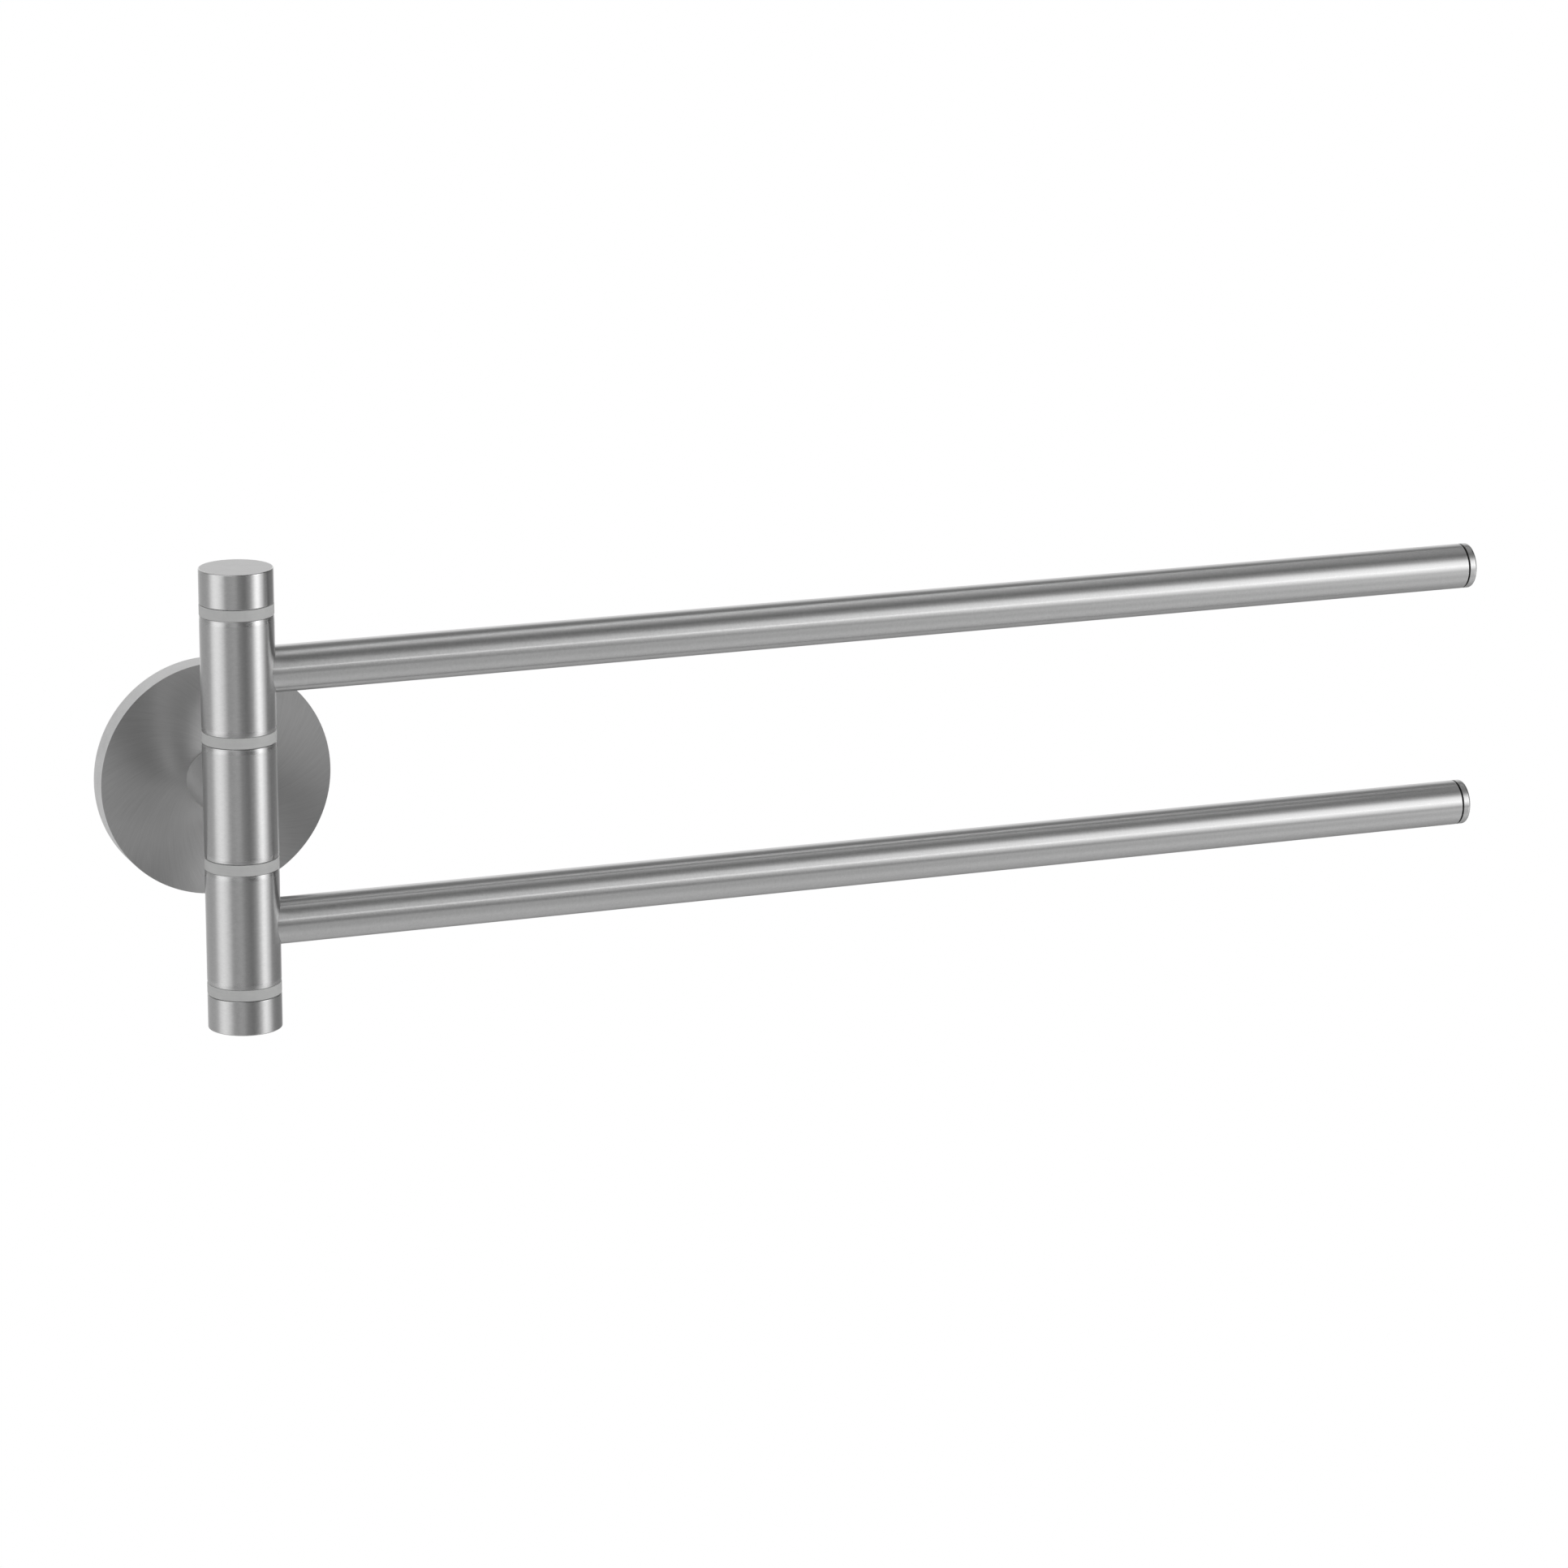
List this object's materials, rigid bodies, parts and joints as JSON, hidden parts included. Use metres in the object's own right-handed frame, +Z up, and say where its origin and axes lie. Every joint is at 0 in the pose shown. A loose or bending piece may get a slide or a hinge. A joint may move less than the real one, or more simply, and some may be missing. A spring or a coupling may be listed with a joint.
{
  "type": "double towel rail",
  "caption": "Wall-mounted towel rail with brushed steel bars, one above the other, that swivel about an upright post on nylon bushes; a round rosette hides the wall plate.",
  "frame": {"origin": "middle of the wall plate's back face, between its two screw holes, on the wall", "axes": "+Y into the wall, +Z up, +X along the bars at rest, when they lie parallel to the wall"},
  "size_m": [0.3755, 0.0385, 0.12],
  "materials": {
    "brushed_steel": "brushed",
    "rosette_steel": "brushed face",
    "nylon": "milky, matte",
    "plated_steel": "zinc plated"
  },
  "bodies": {
    "wall_bracket": {"wall_plate": "plated_steel", "rosette": "rosette_steel", "rosette_grub_screw": "plated_steel", "neck": "brushed_steel", "neck_bolt": "plated_steel", "middle_sleeve": "brushed_steel", "spindle": "plated_steel", "top_cap": "brushed_steel", "bottom_cap": "brushed_steel"},
    "upper_arm": {"upper_hub": "brushed_steel", "upper_hub_top_bush": "nylon", "upper_hub_bottom_bush": "nylon", "upper_rail": "brushed_steel", "upper_rail_plug": "plated_steel", "upper_rail_screw": "plated_steel", "upper_rail_end_cap": "brushed_steel"},
    "lower_arm": {"lower_hub": "brushed_steel", "lower_hub_top_bush": "nylon", "lower_hub_bottom_bush": "nylon", "lower_rail": "brushed_steel", "lower_rail_plug": "plated_steel", "lower_rail_screw": "plated_steel", "lower_rail_end_cap": "brushed_steel"}
  },
  "joints": [
    {"name": "upper_swivel", "type": "hinge", "parent": "wall_bracket", "child": "upper_arm", "pos_m": [0, -0.029, 0.033], "axis": [0, 0, 1], "range_deg": [-183.5, 3.5]},
    {"name": "lower_swivel", "type": "hinge", "parent": "wall_bracket", "child": "lower_arm", "pos_m": [0, -0.029, -0.033], "axis": [0, 0, 1], "range_deg": [-183.5, 3.5]}
  ]
}
